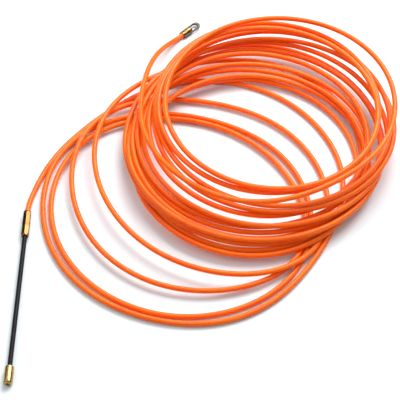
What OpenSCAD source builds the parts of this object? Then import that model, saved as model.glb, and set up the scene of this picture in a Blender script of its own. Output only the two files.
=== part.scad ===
// Nylon fish tape, lying as a loose springy coil on a flat surface.
// +Z is up. The origin is the middle of the whole object's footprint, on the surface.
// Lengths are in millimetres.

/* [Tape] */
// Diameter of the nylon tape
tape_d = 4; // [3.6:0.1:4]
// Turns in the main coil
coil_turns = 12; // [9:3:15]
// Height that each turn adds to the main coil, as a share of the tape's diameter
turn_nest = 0.68; // [0.5:0.01:0.8]
// Mean radius of the main coil
coil_r = 87; // [84:1:92]
// Width across the turns that lie at one height in the main coil
coil_band = 18; // [16:1:24]

/* [Leader] */
// Diameter of the black sheath
sheath_d = 3.4; // [3:0.1:3.4]
// Diameter of the steel cable inside the sheath
core_d = 1.6; // [1:0.1:2]
// Length of leader between the front ferrule and the nose
leader_len = 110; // [90:1:120]

/* [Front ferrule and nose] */
// Length of the crimped front ferrule
ferrule_len = 23; // [20:1:28]
// Width across the corners of the six-sided crimp
ferrule_corners = 6.4; // [6:0.1:7]
// Diameter of the nose
nose_d = 6.4; // [6:0.1:8]
// Length of the nose
nose_len = 14; // [14:1:22]
// Diameter of the hole in the tip of the nose
nose_hole_d = 1.8; // [1.2:0.1:2.4]

/* [Pulling eye] */
// Length of the pulling eye
eye_len = 20; // [18:1:24]
// Width of the pulling eye
eye_w = 7.2; // [7:0.1:8]
// Thickness of the eye's steel plate
eye_t = 1.6; // [1:0.1:2]
// Diameter of the rear ferrule
rear_d = 5; // [4.8:0.1:5.2]
// Length of the rear ferrule
rear_len = 11; // [10:1:12]

/* [Hidden] */
$fn = 64;

tape_r = tape_d / 2;
clear = 0.05;          // radial play of a crimped joint
bore_depth = 10;       // how far the tape and the leader reach into the front ferrule
nose_bore_depth = 7;   // how far the leader reaches into the nose
rear_bore_depth = 8;   // how far the tape reaches into the rear ferrule

// Loops that lie spread out beneath the main coil: centre and mean radius of each
outer_centre = [-20, -21];
outer_r = 105;
outer_turns = 2;
middle_centre = [-5, 3];
middle_r = 103;
inner_centre = [22, 24];
inner_r = 111;

// The main coil is three tiers of turns, each shifted to the back right of the one below
tiers = 3;
tier_h = coil_turns * turn_nest * tape_d / tiers;
coil_base = 3 * tape_d;
coil_centre = [23, 26];
tier_shift = [11, 11];

// Leader: a straight line along -Y, with the nose and the front ferrule just touching down
leader_x = -137.5;
axis_z = max(nose_d, ferrule_corners) / 2;
ferrule_y = -30;
leader_y = ferrule_y - ferrule_len;
nose_y = leader_y - leader_len;
// Bending points of the leader, measured from the front ferrule's mouth, and gaps there
bend_near = 22;
bend_lift = leader_len / 2;
bend_far = leader_len - 25;
side_gap = 1.4;
lift_gap = 2.2;

// Pulling eye: where the tape enters its ferrule, and its heading
eye_at = [-24, 161.5, rear_d / 2];
eye_heading = 46;
eye_dir = [cos(eye_heading), sin(eye_heading), 0];

// Routes of the tape where it is not coiled, each a list of points on its centreline
front_route = [
    [leader_x, ferrule_y - bore_depth + 1, axis_z], [leader_x, ferrule_y, axis_z],
    [-137, -22, 3], [-135, -12, 2.3], [-131, 2, 2], [-126, 14, 2], [-119, 27, 2]
];
back_route = [
    [-95, 59, 2], [-82, 72, 2], [-68, 85, 2], [-47, 99, 2], [-22, 107, 2], [3, 107, 2],
    [31, 102, 2], [53, 91, 2], [72, 73, 2], [88, 50, 2], [98, 25, 2], [101, -2, 2],
    [97, -28, 2], [86, -51, 2]
];
eye_route = [
    [18, -46, 38], [2, -41, 38], [-16, -30, 37], [-38, -7, 34], [-52, 26, 30], [-56, 65, 25],
    [-54, 89, 20], [-48, 113, 15], [-40, 132, 10], [-32, 147, 6],
    eye_at - 5 * eye_dir, eye_at, eye_at + (rear_bore_depth - 1) * eye_dir
];

// A point at fraction t between b and c, on the smooth curve that also passes a and d
function curve(a, b, c, d, t) =
    ((2 * b) + (c - a) * t + (2 * a - 5 * b + 4 * c - d) * t * t
        + (3 * b - a - 3 * c + d) * t * t * t) / 2;

// The route with steps rings on each stretch between two of its points
function smooth(route, steps) =
    let (n = len(route))
    [for (i = [0 : n - 2]) for (s = [0 : steps - 1])
        curve(route[max(i - 1, 0)], route[i], route[i + 1], route[min(i + 2, n - 1)], s / steps),
     route[n - 1]];

function unit(v) = v / norm(v);

// Direction of the path at ring i
function heading(path, i) = unit(path[min(i + 1, len(path) - 1)] - path[max(i - 1, 0)]);

// A ring of points around ring i's centre, square to the path
function ring(path, i, r, sides) =
    let (t = heading(path, i), side = unit(cross([0, 0, 1], t)), up = cross(t, side))
    [for (k = [0 : sides - 1])
        path[i] + r * (cos(360 * k / sides) * side + sin(360 * k / sides) * up)];

// A round tube of radius r along a route
module tube(route, r, steps, sides = 8) {
    path = smooth(route, steps);
    n = len(path);
    points = [for (i = [0 : n - 1]) each ring(path, i, r, sides)];
    walls = [for (i = [0 : n - 2]) for (k = [0 : sides - 1])
        let (m = (k + 1) % sides)
        each [[i * sides + k, (i + 1) * sides + k, (i + 1) * sides + m],
              [i * sides + k, (i + 1) * sides + m, i * sides + m]]];
    near_end = [for (k = [0 : sides - 1]) k];
    far_end = [for (k = [sides - 1 : -1 : 0]) (n - 1) * sides + k];
    polyhedron(points = points, faces = concat([near_end], walls, [far_end]), convexity = 4);
}

// A flat ring with bevelled corners: mean radius r, width w, from z up to z + h
module band(centre, r, w, z, h) {
    bevel = min(w, h) / 4;
    translate([centre[0], centre[1], z])
        rotate_extrude($fn = 128)
            polygon([[r - w / 2 + bevel, 0], [r + w / 2 - bevel, 0], [r + w / 2, bevel],
                     [r + w / 2, h - bevel], [r + w / 2 - bevel, h], [r - w / 2 + bevel, h],
                     [r - w / 2, h - bevel], [r - w / 2, bevel]]);
}

// A single closed loop of tape at height z
module loop(centre, r, z) {
    translate([centre[0], centre[1], z])
        rotate_extrude($fn = 128)
            translate([r, 0])
                circle(r = tape_r, $fn = 32);
}

// Puts a shape drawn along +Z on the leader's axis at y, pointing along -Y
module on_leader(y) {
    translate([leader_x, y, axis_z])
        rotate([90, 0, 0])
            children();
}

// Puts a shape drawn along +Z on the pulling eye's axis, pointing away from the tape
module on_eye() {
    translate(eye_at)
        rotate([0, 0, eye_heading])
            rotate([0, 90, 0])
                children();
}

module tape_main_coil() {
    color("orangered")
        for (i = [0 : tiers - 1])
            band(coil_centre + i * tier_shift, coil_r, coil_band, coil_base + i * tier_h, tier_h);
}

module tape_outer_loops() {
    color("darkorange") band(outer_centre, outer_r, outer_turns * tape_d, 0, tape_d);
}

module tape_middle_loop() {
    color("darkorange") loop(middle_centre, middle_r, 1.5 * tape_d);
}

module tape_inner_loop() {
    color("darkorange") loop(inner_centre, inner_r, 2.5 * tape_d);
}

module tape_front_lead() {
    color("orange") tube(front_route, tape_r, 2);
}

module tape_back_run() {
    color("orange") tube(back_route, tape_r, 2);
}

module tape_eye_lead() {
    color("orange") tube(eye_route, tape_r, 2);
}

// Six-sided crimped brass tube, a corner upwards, with a web between its two bores
module front_ferrule() {
    color("goldenrod")
        difference() {
            on_leader(ferrule_y)
                rotate([0, 0, 90])
                    cylinder(d = ferrule_corners, h = ferrule_len, $fn = 6);
            on_leader(ferrule_y + 1)
                cylinder(r = tape_r + clear, h = bore_depth + 1);
            on_leader(leader_y + bore_depth)
                cylinder(r = sheath_d / 2 + clear, h = bore_depth + 1);
        }
}

// Steel cable, crimped in the ferrule at one end and in the nose at the other
module leader_core() {
    color("silver")
        on_leader(leader_y + bore_depth - 1)
            cylinder(d = core_d, h = leader_len + bore_depth + nose_bore_depth - 2);
}

// One stretch of the hollow sheath, between two distances from the ferrule's mouth
module sheath(from, to) {
    color("dimgray")
        difference() {
            on_leader(leader_y - from) cylinder(d = sheath_d, h = to - from);
            on_leader(leader_y - from + 1) cylinder(d = core_d + 2 * clear, h = to - from + 2);
        }
}

module leader_sheath_root() {
    sheath(1 - bore_depth, bend_near - side_gap / 2);
}

module leader_sheath_near() {
    sheath(bend_near + side_gap / 2, bend_lift - lift_gap / 2);
}

module leader_sheath_far() {
    sheath(bend_lift + lift_gap / 2, bend_far - side_gap / 2);
}

module leader_sheath_tip() {
    sheath(bend_far + side_gap / 2, leader_len + nose_bore_depth - 1);
}

// Turned brass nose: bevelled shoulder, straight barrel, rounded edge, blind hole in the tip
module nose_tip() {
    r = nose_d / 2;
    shoulder = 1.2;
    edge = 1.4;
    color("gold")
        difference() {
            on_leader(nose_y)
                rotate_extrude()
                    polygon(concat(
                        [[0, 0], [r - shoulder, 0], [r, shoulder]],
                        [for (a = [0 : 15 : 90])
                            [r - edge + edge * cos(a), nose_len - edge + edge * sin(a)]],
                        [[0, nose_len]]));
            on_leader(nose_y + 1)
                cylinder(r = sheath_d / 2 + clear, h = nose_bore_depth + 1);
            on_leader(nose_y - nose_len + 5)
                cylinder(d = nose_hole_d, h = 6);
        }
}

// Brass ferrule crimped on the tape's rear end, its closed end rounded off in steps
module rear_ferrule() {
    r = rear_d / 2;
    color("goldenrod")
        difference() {
            on_eye()
                rotate_extrude()
                    polygon([[0, 0], [r - 0.3, 0], [r, 0.3], [r, rear_len - 1.6],
                             [r - 0.5, rear_len - 0.5], [r - 1.5, rear_len], [0, rear_len]]);
            on_eye()
                translate([0, 0, -1])
                    cylinder(r = tape_r + clear, h = rear_bore_depth + 1);
        }
}

// Steel plate bent round into a long link: two rails beside the ferrule and a round end
module pulling_eye() {
    end_r = eye_w / 2;
    slot_w = rear_d;
    land = 2.6;
    color("gray")
        translate(eye_at - [0, 0, eye_t / 2])
            rotate([0, 0, eye_heading])
                linear_extrude(height = eye_t)
                    difference() {
                        union() {
                            translate([0, -end_r]) square([eye_len - end_r, eye_w]);
                            translate([eye_len - end_r, 0]) circle(r = end_r);
                        }
                        translate([-1, -slot_w / 2])
                            square([eye_len - land - slot_w / 2 + 1, slot_w]);
                        translate([eye_len - land - slot_w / 2, 0]) circle(d = slot_w);
                    }
}

tape_main_coil();
tape_outer_loops();
tape_middle_loop();
tape_inner_loop();
tape_front_lead();
tape_back_run();
tape_eye_lead();
front_ferrule();
leader_core();
leader_sheath_root();
leader_sheath_near();
leader_sheath_far();
leader_sheath_tip();
nose_tip();
rear_ferrule();
pulling_eye();
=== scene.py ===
"""A nylon fish tape lying as a loose springy coil: camera and tape first, then the
leader, the two ends' fittings, the materials, the floor and the light."""

import math

import bmesh
import bpy
import numpy as np
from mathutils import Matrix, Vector


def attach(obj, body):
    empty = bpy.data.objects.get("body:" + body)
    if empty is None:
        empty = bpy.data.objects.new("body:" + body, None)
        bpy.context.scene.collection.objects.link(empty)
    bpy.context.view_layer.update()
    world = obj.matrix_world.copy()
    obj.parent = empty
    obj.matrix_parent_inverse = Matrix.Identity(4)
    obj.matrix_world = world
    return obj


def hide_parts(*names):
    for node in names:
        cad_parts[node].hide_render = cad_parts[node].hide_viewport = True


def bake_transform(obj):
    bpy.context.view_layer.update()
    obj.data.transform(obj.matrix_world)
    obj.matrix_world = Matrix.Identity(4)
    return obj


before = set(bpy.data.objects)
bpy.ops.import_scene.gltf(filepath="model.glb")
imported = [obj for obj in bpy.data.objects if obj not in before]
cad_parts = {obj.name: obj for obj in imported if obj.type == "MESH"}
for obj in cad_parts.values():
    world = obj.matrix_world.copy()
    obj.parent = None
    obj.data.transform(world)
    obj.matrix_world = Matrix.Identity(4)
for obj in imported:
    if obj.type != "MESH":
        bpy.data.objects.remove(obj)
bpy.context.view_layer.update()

MM = 0.001
SHARP_ANGLE = math.radians(38)  # edges sharper than this aren't shaded smooth

# Sizes of the real pieces, in millimetres
TAPE_D = 4.0
TAPE_R = TAPE_D / 2

# The leader's line and the ferrules' places, as in the CAD model
LEADER_X = -137.5
LEADER_Z = 3.2
FERRULE_Y = -30.0
FERRULE_LEN = 23.0
LEADER_Y = FERRULE_Y - FERRULE_LEN
LEADER_LEN = 110.0
NOSE_Y = LEADER_Y - LEADER_LEN
EYE_AT = (-24.0, 161.5, 2.5)
EYE_HEADING = math.radians(46)


# ---------------------------------------------------------------- camera

CAMERA_ELEVATION = 51.0
CAMERA_DISTANCE = 900.0
CAMERA_TARGET = (-9.0, -16.0, 0.0)
VIEW_WIDTH = 302.0


def add_camera():
    """The photograph's view: from the front, looking steeply down."""
    lens = bpy.data.cameras.new("camera")
    lens.sensor_width = 36.0
    lens.lens = lens.sensor_width * CAMERA_DISTANCE / VIEW_WIDTH
    lens.clip_start = 0.01
    lens.clip_end = 50.0
    camera = bpy.data.objects.new("camera", lens)
    up = math.radians(CAMERA_ELEVATION)
    x, y, z = CAMERA_TARGET
    camera.location = (
        x * MM,
        (y - CAMERA_DISTANCE * math.cos(up)) * MM,
        (z + CAMERA_DISTANCE * math.sin(up)) * MM,
    )
    camera.rotation_euler = (math.pi / 2 - up, 0.0, 0.0)
    bpy.context.scene.collection.objects.link(camera)
    bpy.context.scene.camera = camera


add_camera()


# ---------------------------------------------------------------- tape

STEP = 4.0  # spacing of the tape's points
TAPE_SIDES = 20
FAIR_OVER = 34  # points: shorter waves in the given route are evened out
FAIR_STEPS = 1500

# The tape's route from the front ferrule, in loose loops
FRONT_RUN = [
    (-137.5, -39, 3.2), (-137.5, -30, 3.2), (-137, -22, 2.8), (-135, -12, 2.3),
    (-131, 2, 2), (-126, 14, 2), (-119, 27, 2), (-107, 45, 2), (-95, 59, 2),
    (-82, 72, 2), (-68, 85, 2), (-47, 99, 2), (-22, 107, 2), (3, 107, 2),
    (31, 102, 2), (53, 91, 2), (72, 73, 2), (88, 50, 2), (98, 25, 2),
    (101, -2, 2), (97, -28, 2), (86, -51, 2),
]
OUTER_LOOP = [
    (72, -73, 2), (58, -95, 2), (42, -111, 2), (20, -123, 2), (-8, -128, 2),
    (-36, -126, 2), (-62, -117, 2), (-85, -104, 2), (-105, -84, 2),
    (-119, -59, 2), (-126, -31, 2), (-126, -4, 3), (-119, 23, 6.2),
    (-108, 43, 5.5), (-95, 52, 4.5), (-80, 62, 4), (-58, 70, 4), (-34, 70.5, 4),
    (-9, 66, 4), (20, 54, 4), (42, 39, 4), (57, 22, 4), (66, 2, 4),
    (70, -20, 4), (71, -42, 3), (67, -64, 3),
]
SECOND_LOOP = [
    (59, -83, 4), (47, -97, 3), (31, -108, 2.5), (13, -117, 2), (-9, -122, 2),
    (-36, -121, 2), (-61, -112, 2), (-82, -99, 2), (-101, -79, 2),
    (-114, -55, 2), (-120, -28, 3), (-119, -2, 5), (-112, 20, 7),
    (-101, 38, 8), (-85, 51, 7), (-62, 62, 6), (-35, 65, 6), (-9, 61, 6),
    (20, 48, 6), (41, 30, 6), (55, 12, 6), (64, -6, 6), (69, -26, 6),
    (71, -47, 6), (69, -65, 6),
]
THIRD_LOOP = [
    (60, -79, 7), (45, -89, 8), (28, -96, 8), (8, -102, 8), (-15, -102, 8),
    (-38, -97, 8), (-60, -86, 8), (-79, -69, 8), (-93, -49, 8),
    (-102, -25, 8), (-106, 0, 8), (-104, 26, 9), (-97, 49, 10), (-84, 67, 9),
    (-64, 79, 7), (-40, 85, 6), (-12, 83, 6), (15, 78, 6), (40, 67, 6),
    (60, 50, 6), (75, 30, 6), (84, 6, 6), (87, -18, 6), (84, -42, 6),
    (76, -62, 7),
]
FOURTH_LOOP = [
    (62, -78, 10), (44, -87, 12), (22, -91, 12), (-2, -88, 12), (-25, -80, 12),
    (-45, -68, 12), (-63, -49, 12), (-78, -27, 12), (-86, -3, 12),
    (-90, 20, 12), (-89, 43, 12), (-83, 64, 12), (-72, 83, 11),
    (-57, 99, 10), (-36, 113, 9), (-10, 125, 8), (18, 129, 8),
    (48, 126, 8), (76, 111, 8), (99, 87, 8), (112, 58, 8),
    (115, 31, 8), (111, 3, 8), (99, -28, 9), (79, -55, 10),
]
EYE_RUN = [
    (138, 38, 40), (130, 10, 40), (122, -2, 40), (112, -12, 40), (100, -21, 40),
    (85, -30, 40), (70, -39, 40), (55, -46, 40), (38, -49, 39), (20, -47, 38),
    (3, -41, 38), (-12, -31, 37), (-24, -20, 35), (-34, -7, 33), (-43, 7, 31),
    (-50, 20, 29), (-54, 38, 27), (-54, 60, 24), (-53, 80, 21), (-52, 97, 17),
    (-50, 113, 13), (-46, 126, 10), (-41, 137, 8), (-34, 149, 5),
]

# The main coil, turn by turn: the x and y of its middle, its radius, how much further it
# reaches to front and back than that (and how much less to the sides), and its height.
# Wide and narrow turns alternate, and the upper ones lie further to the back right.
COIL = [
    (27, 17, 88, 1, 10), (30, 21, 87, 0, 12), (32.5, 38, 102.5, 2, 12.5),
    (29, 24, 88, -1.5, 13), (35.5, 36, 97, 1, 14.5), (30, 32, 86, -3, 16),
    (40, 40, 98, 1, 18.5), (34, 37, 85.5, 0.5, 21), (46.5, 47.5, 92.5, -1, 23.5),
    (47.5, 48, 93, 2, 26), (44, 57, 89, 2.5, 30), (43, 52, 84.5, 1.5, 35),
    (53.5, 56.5, 88.5, 1, 39),
]
TURNS = len(COIL)
LEAN = 5.0  # the lowest turn rises this much to the left and dips to the right
COIL_LOWEST = 3.0
COIL_POINTS = 36  # points in each turn
COIL_START = -70.0  # degrees, where the coil takes over from the loose loops
COIL_SHORT = 8.0  # degrees, by which the coil ends before angle 0 of its last turn
LAG = 0.6  # share of a turn, from its front to the place where its row's values hold


def between(rows, place):
    """The values at a place among rows, on smooth curves through the rows."""
    place = min(max(place, 0.0), len(rows) - 1.0)
    k = min(int(place), len(rows) - 2)
    f = place - k
    a, b = rows[max(k - 1, 0)], rows[k]
    c, d = rows[k + 1], rows[min(k + 2, len(rows) - 1)]
    return b + f / 2 * (c - a + f * (2 * a - 5 * b + 4 * c - d + f * (3 * (b - c) + d - a)))


def coil_turns():
    """The coil's points, running clockwise as seen from above."""
    points = []
    angle = COIL_START
    while angle > -360.0 * TURNS + COIL_SHORT:
        points.append(coil_point(angle))
        angle -= 360.0 / COIL_POINTS
    return points


def coil_point(angle):
    """The coil's point at one angle, in degrees."""
    turn = (-90.0 - angle) / 360.0
    theta = math.radians(angle)
    x, y, radius, longer, z = between(np.array(COIL, float), turn - LAG)
    radius -= longer * math.cos(2 * theta)
    lean = LEAN * max(0.0, 1 - turn / TURNS) * math.cos(theta - math.pi)
    return (
        x + radius * math.cos(theta),
        y + radius * math.sin(theta),
        max(COIL_LOWEST, z + lean),
    )


def eye_end():
    """The tape's last points: straight into the rear ferrule."""
    x, y, z = EYE_AT
    c, s = math.cos(EYE_HEADING), math.sin(EYE_HEADING)
    return [(x + d * c, y + d * s, z) for d in (-5, 0, 7)]


def smooth_line(points, spacing):
    """Evenly spaced points on a smooth curve through the given ones."""
    p = np.array(points, float)
    p = np.vstack([2 * p[0] - p[1], p, 2 * p[-1] - p[-2]])
    fine = []
    for a, b, c, d in zip(p, p[1:], p[2:], p[3:]):
        t0 = 0.0
        t1 = t0 + math.sqrt(np.linalg.norm(b - a))
        t2 = t1 + math.sqrt(np.linalg.norm(c - b))
        t3 = t2 + math.sqrt(np.linalg.norm(d - c))
        count = max(2, int(np.linalg.norm(c - b)))
        t = np.linspace(t1, t2, count, endpoint=False)[:, None]
        ab = (t1 - t) / (t1 - t0) * a + (t - t0) / (t1 - t0) * b
        bc = (t2 - t) / (t2 - t1) * b + (t - t1) / (t2 - t1) * c
        cd = (t3 - t) / (t3 - t2) * c + (t - t2) / (t3 - t2) * d
        abc = (t2 - t) / (t2 - t0) * ab + (t - t0) / (t2 - t0) * bc
        bcd = (t3 - t) / (t3 - t1) * bc + (t - t1) / (t3 - t1) * cd
        fine.append((t2 - t) / (t2 - t1) * abc + (t - t1) / (t2 - t1) * bcd)
    fine.append(p[-2][None])
    fine = np.vstack(fine)
    along = np.concatenate([[0.0], np.cumsum(np.linalg.norm(np.diff(fine, axis=0), axis=1))])
    count = int(round(along[-1] / spacing))
    even = np.linspace(0.0, along[-1], count + 1)
    return np.stack([np.interp(even, along, fine[:, k]) for k in range(3)], axis=1)


def bending_change(points):
    """How much each point must give for the line's curvature to change less."""
    change = np.diff(points, n=3, axis=0)
    total = np.zeros_like(points)
    for k, share in enumerate((-1.0, 3.0, -3.0, 1.0)):
        total[k : k + len(change)] += share * change
    return total


def fair(points, fade, free):
    """Evens out the line's curvature over waves shorter than fade points, as a springy
    tape would, by the conjugate gradient method."""
    stiffness = (fade / (2 * math.pi)) ** 6
    hold = free[:, None]
    shift = np.zeros_like(points)
    rest = -stiffness * bending_change(points) * hold
    step = rest.copy()
    size = (rest * rest).sum()
    for _ in range(FAIR_STEPS):
        felt = (step + stiffness * bending_change(step)) * hold
        share = size / (step * felt).sum()
        shift += share * step
        rest -= share * felt
        grown = (rest * rest).sum()
        step = rest + grown / size * step
        size = grown
    return points + shift


def ends_held(count):
    """1 for each free point of the tape, and 0 for those held in the two ferrules."""
    free = np.ones(count)
    free[: HELD_ENDS[0]] = 0.0
    free[-HELD_ENDS[1] :] = 0.0
    return free


# Settling the tape: it drops a little, its turns push each other apart, and it stays springy
NEAR = 11.0  # stretches further apart than this don't meet
SKIP = 10  # stretches this close along the tape don't meet
REFRESH = 20
GRAVITY = 0.02
PULL_BACK = 0.99
SPRINGY_PASSES = 8
ROOM = 0.1  # kept between turns in the last steps
STEPS = ((300, 600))  # dropping, and then only touching
HELD_ENDS = (10, 6)  # points held in the front ferrule and at the eye


def near_pairs(points):
    """Stretches of tape that lie close to each other."""
    middle = (points[1:] + points[:-1]) / 2
    first, second = [], []
    for start in range(0, len(middle), 400):
        block = middle[start : start + 400]
        apart = sum((block[:, None, k] - middle[None, :, k]) ** 2 for k in range(3))
        i, j = np.nonzero(apart < NEAR * NEAR)
        i = i + start
        keep = j > i + SKIP
        first.append(i[keep])
        second.append(j[keep])
    return np.concatenate(first), np.concatenate(second)


def nearest_places(a, b, c, d):
    """How far along a-b and along c-d the two stretches come nearest to each other."""
    u, v, w = b - a, d - c, a - c
    uu, vv, uv = (u * u).sum(1), (v * v).sum(1), (u * v).sum(1)
    uw, vw = (u * w).sum(1), (v * w).sum(1)
    area = uu * vv - uv * uv
    crossing = area > 1e-9 * uu * vv
    s = np.where(crossing, (uv * vw - uw * vv) / np.where(crossing, area, 1.0), 0.5)
    s = np.clip(s, 0.0, 1.0)
    t = np.clip((uv * s + vw) / vv, 0.0, 1.0)
    s = np.clip((uv * t - uw) / uu, 0.0, 1.0)
    return s, t


def part_touching(points, free, pairs, diameter):
    """Moves stretches of tape that overlap apart, half the overlap each."""
    i, j = pairs
    s, t = nearest_places(points[i], points[i + 1], points[j], points[j + 1])
    across = (points[j] + t[:, None] * (points[j + 1] - points[j])) - (
        points[i] + s[:, None] * (points[i + 1] - points[i])
    )
    gap = np.sqrt((across * across).sum(1))
    hit = gap < diameter
    i, j, s, t = i[hit], j[hit], s[hit], t[hit]
    gap = np.maximum(gap[hit], 1e-6)
    push = across[hit] * ((diameter - gap) / gap / 2)[:, None]
    total, weight = np.zeros_like(points), np.zeros(len(points))
    for index, part, sign in ((i, 1 - s, -1), (i + 1, s, -1), (j, 1 - t, 1), (j + 1, t, 1)):
        weight += np.bincount(index, part, len(points))
        for k in range(3):
            total[:, k] += np.bincount(index, sign * part * push[:, k], len(points))
    points += total / np.maximum(weight, 1.0)[:, None] * free[:, None]


def stay_springy(points, drawn, free, passes, pull_back):
    """Evens out how far the tape has left its drawn line, so no kink forms."""
    shift = points - drawn
    for _ in range(passes):
        even = (shift[:-2] + shift[2:]) / 2 - shift[1:-1]
        shift[1:-1] += even / 2 * free[1:-1, None]
    shift[:, :2] *= pull_back
    points[:] = drawn + shift
    low = (points[:, 2] < TAPE_R) & (free > 0)
    points[low, 2] = TAPE_R


def settle(drawn):
    """The tape's line after it has come to rest on the floor and on itself."""
    points = drawn.copy()
    free = ends_held(len(points))
    drop, last = STEPS
    for step in range(drop + last):
        if step % REFRESH == 0:
            pairs = near_pairs(points)
        if step < drop:
            fade = max(0.0, 1 - step / (0.75 * drop))
            points[:, 2] -= GRAVITY * fade * free
            part_touching(points, free, pairs, TAPE_D)
            stay_springy(points, drawn, free, SPRINGY_PASSES, PULL_BACK)
        else:
            part_touching(points, free, pairs, TAPE_D + ROOM)
            stay_springy(points, drawn, free, 1, 1.0)
    return points


def tape_mesh(points):
    """A closed round tube along the points."""
    count = len(points)
    way = np.gradient(points, axis=0)
    way /= np.linalg.norm(way, axis=1)[:, None]
    side = np.cross([0.0, 0.0, 1.0], way)
    side /= np.linalg.norm(side, axis=1)[:, None]
    over = np.cross(way, side)
    turn = 2 * math.pi * np.arange(TAPE_SIDES) / TAPE_SIDES
    ring = (
        np.cos(turn)[None, :, None] * side[:, None, :]
        + np.sin(turn)[None, :, None] * over[:, None, :]
    )
    surface = points[:, None, :] + TAPE_R * ring
    here = np.arange(TAPE_SIDES)
    beside = (here + 1) % TAPE_SIDES
    base = TAPE_SIDES * np.arange(count - 1)[:, None]
    walls = np.stack(
        [base + here, base + beside, base + TAPE_SIDES + beside, base + TAPE_SIDES + here],
        axis=-1,
    )
    faces = walls.reshape(-1, 4).tolist()
    faces.append(here[::-1].tolist())
    faces.append((TAPE_SIDES * (count - 1) + here).tolist())
    mesh = bpy.data.meshes.new("tape")
    mesh.from_pydata((surface.reshape(-1, 3) * MM).tolist(), [], faces)
    mesh.shade_smooth()
    mesh.set_sharp_from_angle(angle=math.radians(60))
    tape = bpy.data.objects.new("tape", mesh)
    bpy.context.scene.collection.objects.link(tape)
    return tape


route = FRONT_RUN + OUTER_LOOP + SECOND_LOOP + THIRD_LOOP + FOURTH_LOOP
route += coil_turns() + EYE_RUN + eye_end()
drawn_line = smooth_line(route, STEP)
tape_line = settle(fair(drawn_line, FAIR_OVER, ends_held(len(drawn_line))))
tape = tape_mesh(tape_line)
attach(tape, "tape")
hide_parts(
    "tape_main_coil", "tape_outer_loops", "tape_middle_loop", "tape_inner_loop",
    "tape_front_lead", "tape_back_run", "tape_eye_lead",
)


# ---------------------------------------------------------------- mesh helpers


def new_mesh(name, points, faces):
    """A mesh piece from points in millimetres, smooth but for its sharp edges."""
    mesh = bpy.data.meshes.new(name)
    mesh.from_pydata([tuple(c * MM for c in p) for p in points], [], faces)
    mesh.validate()
    mesh.shade_smooth()
    mesh.set_sharp_from_angle(angle=SHARP_ANGLE)
    piece = bpy.data.objects.new(name, mesh)
    bpy.context.scene.collection.objects.link(piece)
    return piece


def along_leader(y):
    """Places (across, up, along) on the leader's line, along running from y to -Y."""
    return lambda u, v, t: (LEADER_X - u, y - t, LEADER_Z + v)


def along_eye():
    """Places (across, up, along) on the pulling eye's line."""
    x, y, z = EYE_AT
    c, s = math.cos(EYE_HEADING), math.sin(EYE_HEADING)
    return lambda u, v, t: (x + t * c - u * s, y + t * s + u * c, z + v)


def round_section(radius, angle):
    return radius


def turned(name, profile, sides, place, section=round_section):
    """A closed piece turned from a profile of (along, radius), both ends on the axis."""
    points = [place(0, 0, profile[0][0])]
    for along, radius in profile[1:-1]:
        for k in range(sides):
            angle = 2 * math.pi * k / sides
            r = section(radius, angle)
            points.append(place(r * math.cos(angle), r * math.sin(angle), along))
    points.append(place(0, 0, profile[-1][0]))
    rings = len(profile) - 2
    last = len(points) - 1
    faces = []
    for k in range(sides):
        m = (k + 1) % sides
        faces.append((0, 1 + m, 1 + k))
        for ring in range(rings - 1):
            a, b = 1 + ring * sides, 1 + (ring + 1) * sides
            faces.append((a + k, a + m, b + m, b + k))
        end = 1 + (rings - 1) * sides
        faces.append((last, end + k, end + m))
    piece = new_mesh(name, points, faces)
    outward(piece)
    return piece


def outward(piece):
    """Turns all the faces' normals outwards."""
    work = bmesh.new()
    work.from_mesh(piece.data)
    bmesh.ops.recalc_face_normals(work, faces=work.faces)
    work.to_mesh(piece.data)
    work.free()
    piece.data.set_sharp_from_angle(angle=SHARP_ANGLE)


# ---------------------------------------------------------------- front ferrule

HEX_CORNERS = 6.4
CORNER_ROUNDING = 0.12
BORE_DEPTH = 10.0
SHEATH_D = 3.4
PLAY = 0.03  # radial play of a crimped joint


def hex_section(radius, angle):
    """A hexagon with rounded corners, or a circle where the radius fits inside it."""
    corner = HEX_CORNERS / 2
    flat = corner * math.cos(math.pi / 6)
    from_corner = (angle - math.pi / 2 + math.pi / 6) % (math.pi / 3) - math.pi / 6
    hexagon = flat / math.cos(math.pi / 6 - abs(from_corner))
    return min(radius, hexagon, corner - CORNER_ROUNDING)


def front_ferrule():
    """A brass tube crimped to six flats on the tape and on the leader."""
    length = FERRULE_LEN
    tape_bore = TAPE_R + PLAY
    sheath_bore = SHEATH_D / 2 + PLAY
    corner = HEX_CORNERS / 2
    profile = [(BORE_DEPTH, 0), (BORE_DEPTH, tape_bore), (0.3, tape_bore), (0.0, tape_bore + 0.25)]
    profile += [(0.0, 2.5), (0.15, 2.72), (0.7, corner)]
    profile += [(length * k / 12, corner) for k in range(1, 12)]
    profile += [(length - 0.7, corner), (length - 0.15, 2.72), (length, 2.5)]
    profile += [(length, sheath_bore + 0.25), (length - 0.3, sheath_bore)]
    profile += [(length - BORE_DEPTH, sheath_bore), (length - BORE_DEPTH, 0)]
    piece = turned(
        "front_ferrule_crimped", profile, 96, along_leader(FERRULE_Y), hex_section
    )
    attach(piece, "tape")
    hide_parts("front_ferrule")
    return piece


# ---------------------------------------------------------------- leader

CORE_D = 1.6
SHEATH_STEP = 1.5
# Each stretch of the leader: its ends, the two bodies it joins and where it bends
STRETCHES = (
    ("root", -44.0, -91.0, "tape", "leader_near", (-60.0, -90.0)),
    ("middle", -91.0, -123.0, "leader_near", "leader_far", (-95.0, -121.0)),
    ("tip", -123.0, -169.0, "leader_far", "nose", (-124.0, -152.0)),
)


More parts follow.
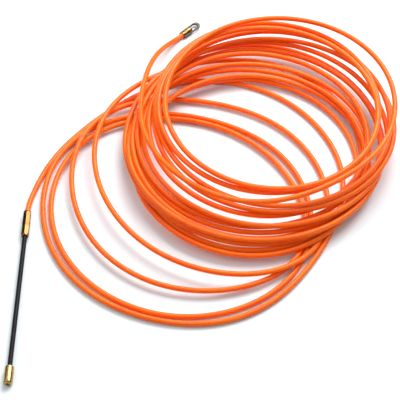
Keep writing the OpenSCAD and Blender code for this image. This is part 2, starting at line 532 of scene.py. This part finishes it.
def tube(name, start, end, radius, bore):
    """A straight round tube on the leader's line."""
    sides = 32
    count = int(round((start - end) / SHEATH_STEP))
    place = along_leader(start)
    radii = (radius, bore) if bore else (radius,)
    points, faces = [], []
    for r in radii:
        for ring in range(count + 1):
            for k in range(sides):
                angle = 2 * math.pi * k / sides
                along = (start - end) * ring / count
                points.append(place(r * math.cos(angle), r * math.sin(angle), along))
    wall = (count + 1) * sides
    for w in range(len(radii)):
        for ring in range(count):
            a = w * wall + ring * sides
            for k in range(sides):
                m = (k + 1) % sides
                faces.append((a + k, a + m, a + sides + m, a + sides + k))
    for ring in (0, count):
        a = ring * sides
        if bore:
            for k in range(sides):
                m = (k + 1) % sides
                faces.append((a + k, a + m, wall + a + m, wall + a + k))
        else:
            faces.append(tuple(a + k for k in range(sides)))
    piece = new_mesh(name, points, faces)
    outward(piece)
    return piece


def leader():
    """The sheathed steel cable, in three straight stretches."""
    sheaths, cores = [], []
    for name, start, end, first, second, bend in STRETCHES:
        sheath = tube("sheath_" + name, start, end, SHEATH_D / 2, CORE_D / 2 + 0.05)
        core = tube("cable_" + name, start, end, CORE_D / 2, 0)
        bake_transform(sheath)
        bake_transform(core)
        sheaths.append(sheath)
        cores.append(core)
    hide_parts("leader_sheath_root", "leader_sheath_near")
    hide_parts("leader_sheath_far")
    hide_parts("leader_sheath_tip")
    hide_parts("leader_core")
    return sheaths, cores


# ---------------------------------------------------------------- nose

NOSE_LEN = 14.0
NOSE_R = 3.2
NOSE_HOLE_R = 0.9
NOSE_HOLE_DEPTH = 5.0
NOSE_BORE_DEPTH = 7.0
NOSE_EDGE = 1.4  # radius of the rounded edge round the tip


def nose():
    """The turned brass nose: bevelled shoulder, barrel, rounded edge and a blind hole."""
    bore = SHEATH_D / 2 + PLAY
    depth = NOSE_BORE_DEPTH
    profile = [(depth, 0), (depth, bore), (0.3, bore), (0.0, bore + 0.25)]
    profile += [(0.0, 2.2), (0.06, 2.35), (0.9, 3.12), (1.1, NOSE_R)]
    profile += [(1.1 + k * (NOSE_LEN - NOSE_EDGE - 1.1) / 6, NOSE_R) for k in range(1, 6)]
    for k in range(0, 10):
        a = math.radians(10 * k)
        along = NOSE_LEN - NOSE_EDGE + NOSE_EDGE * math.sin(a)
        profile.append((along, NOSE_R - NOSE_EDGE + NOSE_EDGE * math.cos(a)))
    profile += [(NOSE_LEN, NOSE_HOLE_R + 0.3), (NOSE_LEN - 0.3, NOSE_HOLE_R)]
    profile += [(NOSE_LEN - NOSE_HOLE_DEPTH, NOSE_HOLE_R), (NOSE_LEN - NOSE_HOLE_DEPTH, 0)]
    piece = turned("nose_turned", profile, 64, along_leader(NOSE_Y))
    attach(piece, "nose")
    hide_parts("nose_tip")
    return piece


# ---------------------------------------------------------------- rear ferrule and eye

REAR_R = 2.5
REAR_LEN = 11.0
REAR_BORE_DEPTH = 8.0
REAR_EDGE = 1.8
EYE_LEN = 20.0
EYE_W = 7.2
EYE_T = 1.6
EYE_BEVEL = 0.35
EYE_LAND = 2.6
SLOT_W = 5.0
# The crimp dents: how deep, how wide and how far from the tape's end of the ferrule
DENT_DEPTH = 0.32
DENT_SPREAD = 0.95
DENT_AT = 3.6


def rear_ferrule():
    """A brass ferrule with two crimp dents and a rounded closed end."""
    bore = TAPE_R + PLAY
    depth = REAR_BORE_DEPTH
    profile = [(depth, 0), (depth, bore), (0.2, bore), (0.0, bore + 0.15), (0.0, REAR_R - 0.2)]
    profile += [(0.2, REAR_R)]
    profile += [(0.2 + 0.4 * k, REAR_R) for k in range(1, 23)]
    for k in range(1, 10):
        a = math.radians(10 * k)
        along = REAR_LEN - REAR_EDGE + REAR_EDGE * math.sin(a)
        profile.append((along, REAR_R - REAR_EDGE + REAR_EDGE * math.cos(a)))
    profile += [(REAR_LEN, 0)]
    piece = turned("rear_ferrule_crimped", profile, 64, along_eye())
    dent(piece)
    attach(piece, "tape")
    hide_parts("rear_ferrule")
    return piece


def dent(piece):
    """Presses the crimping tool's dents into the top and the bottom of the rear ferrule."""
    place = along_eye()
    for side in (1, -1):
        centre = Vector(place(0, side * REAR_R, DENT_AT)) * MM
        for vertex in piece.data.vertices:
            away = (vertex.co - centre).length / MM
            outer = abs(vertex.co.z / MM - EYE_AT[2]) > REAR_R * 0.7
            if away < 3 * DENT_SPREAD and outer:
                pressed = DENT_DEPTH * math.exp(-((away / DENT_SPREAD) ** 2))
                vertex.co.z -= side * pressed * MM


def pulling_eye():
    """A steel strap bent round into a long link, its edges rounded."""
    outer_r = EYE_W / 2
    inner_r = SLOT_W / 2
    outer_x = EYE_LEN - outer_r
    inner_x = EYE_LEN - EYE_LAND - inner_r
    stations = []
    for k in range(9):
        t = k / 8
        stations.append((t * outer_x, -outer_r, t * inner_x, -inner_r))
    for k in range(1, 36):
        a = math.radians(-90 + 5 * k)
        c, s = math.cos(a), math.sin(a)
        stations.append(
            (outer_x + outer_r * c, outer_r * s, inner_x + inner_r * c, inner_r * s)
        )
    for k in range(8, -1, -1):
        t = k / 8
        stations.append((t * outer_x, outer_r, t * inner_x, inner_r))
    place = along_eye()
    points, faces = [], []
    corners = 4
    bevel = EYE_BEVEL
    for ox, oy, ix, iy in stations:
        width = math.hypot(ox - ix, oy - iy)
        for cx, cy, start in ((1, 1, 0), (-1, 1, 90), (-1, -1, 180), (1, -1, 270)):
            for k in range(corners):
                a = math.radians(start + 90 * k / (corners - 1))
                u = width / 2 + cx * (width / 2 - bevel) + bevel * math.cos(a)
                v = cy * (EYE_T / 2 - bevel) + bevel * math.sin(a)
                f = u / width
                points.append(place(iy + f * (oy - iy), v, ix + f * (ox - ix)))
    n = 4 * corners
    for station in range(len(stations) - 1):
        a = station * n
        for k in range(n):
            m = (k + 1) % n
            faces.append((a + k, a + m, a + n + m, a + n + k))
    faces.append(tuple(range(n)))
    faces.append(tuple(range((len(stations) - 1) * n, len(stations) * n)))
    piece = new_mesh("pulling_eye_strap", points, faces)
    outward(piece)
    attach(piece, "tape")
    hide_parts("pulling_eye")
    return piece


# ---------------------------------------------------------------- materials


def new_material(name):
    """A new material, with its node tree and its shader."""
    material = bpy.data.materials.new(name)
    material.use_nodes = True
    tree = material.node_tree
    shader = next(n for n in tree.nodes if n.type == "BSDF_PRINCIPLED")
    return material, tree, shader


def noise(tree, scale, detail=2.0, stretch=None):
    """A noise pattern on the object's own coordinates."""
    place = tree.nodes.new("ShaderNodeTexCoord")
    pattern = tree.nodes.new("ShaderNodeTexNoise")
    pattern.inputs["Scale"].default_value = scale
    pattern.inputs["Detail"].default_value = detail
    source = place.outputs["Object"]
    if stretch:
        mapping = tree.nodes.new("ShaderNodeMapping")
        mapping.inputs["Scale"].default_value = stretch
        tree.links.new(source, mapping.inputs["Vector"])
        source = mapping.outputs["Vector"]
    tree.links.new(source, pattern.inputs["Vector"])
    return pattern.outputs["Fac"]


def ramp(tree, factor, stops):
    """A colour ramp driven by a pattern."""
    node = tree.nodes.new("ShaderNodeValToRGB")
    while len(node.color_ramp.elements) < len(stops):
        node.color_ramp.elements.new(0.5)
    for element, (position, colour) in zip(node.color_ramp.elements, stops):
        element.position = position
        element.color = (*colour, 1.0)
    tree.links.new(factor, node.inputs["Fac"])
    return node.outputs["Color"]


def spread(tree, factor, low, high):
    """A pattern's values spread from low to high."""
    node = tree.nodes.new("ShaderNodeMapRange")
    node.inputs["To Min"].default_value = low
    node.inputs["To Max"].default_value = high
    tree.links.new(factor, node.inputs["Value"])
    return node.outputs["Result"]


def bump(tree, shader, height, strength, distance):
    node = tree.nodes.new("ShaderNodeBump")
    node.inputs["Strength"].default_value = strength
    node.inputs["Distance"].default_value = distance
    tree.links.new(height, node.inputs["Height"])
    tree.links.new(node.outputs["Normal"], shader.inputs["Normal"])


def nylon():
    """Glossy orange nylon that lets a little light through."""
    material, tree, shader = new_material("nylon_orange")
    tone = noise(tree, 30.0, 3.0)
    colour = ramp(tree, tone, [(0.3, (0.96, 0.125, 0.002)), (0.7, (0.96, 0.165, 0.003))])
    tree.links.new(colour, shader.inputs["Base Color"])
    fine = noise(tree, 900.0, 2.0)
    tree.links.new(spread(tree, fine, 0.28, 0.40), shader.inputs["Roughness"])
    shader.inputs["IOR"].default_value = 1.53
    shader.inputs["Specular IOR Level"].default_value = 0.22
    shader.inputs["Subsurface Weight"].default_value = 0.45
    shader.inputs["Subsurface Radius"].default_value = (1.0, 0.12, 0.03)
    shader.inputs["Subsurface Scale"].default_value = 0.004
    bump(tree, shader, fine, 0.08, 0.0002)
    return material


def brass(name, dark, light):
    """Turned brass with fine marks and a random tone; its colour is painted shade, darkened well
    below bright brass to stand in for the dark reflections it shows.
    """
    material, tree, shader = new_material(name)
    tone = noise(tree, 260.0, 4.0)
    tree.links.new(ramp(tree, tone, [(0.3, dark), (0.7, light)]), shader.inputs["Base Color"])
    shader.inputs["Metallic"].default_value = 1.0
    marks = noise(tree, 1500.0, 3.0, (1.0, 6.0, 1.0))
    tree.links.new(spread(tree, marks, 0.14, 0.32), shader.inputs["Roughness"])
    bump(tree, shader, marks, 0.15, 0.0002)
    return material


def black_sheath():
    """Smooth black plastic, faintly uneven over the cable's strands."""
    material, tree, shader = new_material("sheath_black")
    tone = noise(tree, 200.0, 3.0)
    colour = ramp(tree, tone, [(0.3, (0.004, 0.004, 0.005)), (0.7, (0.009, 0.009, 0.010))])
    tree.links.new(colour, shader.inputs["Base Color"])
    fine = noise(tree, 1200.0, 2.0)
    tree.links.new(spread(tree, fine, 0.35, 0.5), shader.inputs["Roughness"])
    shader.inputs["Specular IOR Level"].default_value = 0.12
    bump(tree, shader, fine, 0.1, 0.0002)
    return material


def steel(name, dark, light, rough):
    """Steel with a mottled tone."""
    material, tree, shader = new_material(name)
    tone = noise(tree, 500.0, 4.0)
    tree.links.new(ramp(tree, tone, [(0.3, dark), (0.7, light)]), shader.inputs["Base Color"])
    shader.inputs["Metallic"].default_value = 1.0
    marks = noise(tree, 2000.0, 3.0)
    tree.links.new(spread(tree, marks, rough - 0.06, rough + 0.08), shader.inputs["Roughness"])
    bump(tree, shader, marks, 0.15, 0.0002)
    return material


def floor_paint():
    """Plain near-white studio floor."""
    material, tree, shader = new_material("floor_white")
    tone = noise(tree, 4.0, 2.0)
    colour = ramp(tree, tone, [(0.3, (0.74, 0.78, 0.80)), (0.7, (0.76, 0.80, 0.82))])
    tree.links.new(colour, shader.inputs["Base Color"])
    shader.inputs["Roughness"].default_value = 0.9
    shader.inputs["Specular IOR Level"].default_value = 0.1
    return material


def paint(pieces, material):
    for piece in pieces:
        piece.data.materials.clear()
        piece.data.materials.append(material)


# ---------------------------------------------------------------- stage


def add_floor():
    half = 4.0
    mesh = bpy.data.meshes.new("floor")
    corners = [(-half, -half, 0), (half, -half, 0), (half, half, 0), (-half, half, 0)]
    mesh.from_pydata(corners, [], [(0, 1, 2, 3)])
    floor = bpy.data.objects.new("floor", mesh)
    bpy.context.scene.collection.objects.link(floor)
    paint([floor], floor_paint())


def add_softbox(name, location, target, size, power):
    light = bpy.data.lights.new(name, "AREA")
    light.shape = "RECTANGLE"
    light.size, light.size_y = size
    light.energy = power
    lamp = bpy.data.objects.new(name, light)
    lamp.location = location
    aim = Vector(target) - Vector(location)
    lamp.rotation_euler = aim.to_track_quat("-Z", "Y").to_euler()
    bpy.context.scene.collection.objects.link(lamp)


def add_surroundings():
    """A pale ceiling that darkens towards the horizon."""
    world = bpy.data.worlds.new("studio")
    world.use_nodes = True
    bpy.context.scene.world = world
    tree = world.node_tree
    tree.nodes.clear()
    place = tree.nodes.new("ShaderNodeTexCoord")
    split = tree.nodes.new("ShaderNodeSeparateXYZ")
    tree.links.new(place.outputs["Generated"], split.inputs["Vector"])
    colour = ramp(
        tree, split.outputs["Z"],
        [(0.0, (0.03, 0.03, 0.03)), (0.38, (0.07, 0.07, 0.07)), (0.62, (0.85, 0.88, 0.90))],
    )
    back = tree.nodes.new("ShaderNodeBackground")
    back.inputs["Strength"].default_value = 0.9
    tree.links.new(colour, back.inputs["Color"])
    out = tree.nodes.new("ShaderNodeOutputWorld")
    tree.links.new(back.outputs["Background"], out.inputs["Surface"])


def add_studio():
    add_floor()
    add_surroundings()
    add_softbox("key_light", (0.35, 0.75, 1.0), (0.0, 0.0, 0.0), (1.1, 0.8), 25.0)
    add_softbox("left_light", (-0.9, -0.1, 0.8), (0.0, 0.0, 0.0), (0.5, 0.8), 2.0)
    view = bpy.context.scene.view_settings
    view.view_transform = "Standard"
    view.look = "None"
    view.exposure = 0.0


# ---------------------------------------------------------------- assembly

ferrule = front_ferrule()
sheath_pieces, core_pieces = leader()
nose_piece = nose()
rear = rear_ferrule()
eye = pulling_eye()
paint([tape], nylon())
# The brass colours are painted shade: darkened, the ferrules most, to stand in for their dark
# reflections.
paint([nose_piece], brass("brass_nose", (0.34, 0.22, 0.07), (0.54, 0.37, 0.14)))
paint([ferrule], brass("brass_ferrule", (0.19, 0.085, 0.025), (0.36, 0.18, 0.06)))
paint([rear], brass("brass_rear", (0.12, 0.06, 0.02), (0.28, 0.15, 0.05)))
paint(sheath_pieces, black_sheath())
paint(core_pieces, steel("cable_steel", (0.45, 0.46, 0.48), (0.62, 0.63, 0.65), 0.35))
paint([eye], steel("eye_steel", (0.045, 0.038, 0.03), (0.12, 0.10, 0.08), 0.42))
add_studio()

bpy.context.view_layer.update()
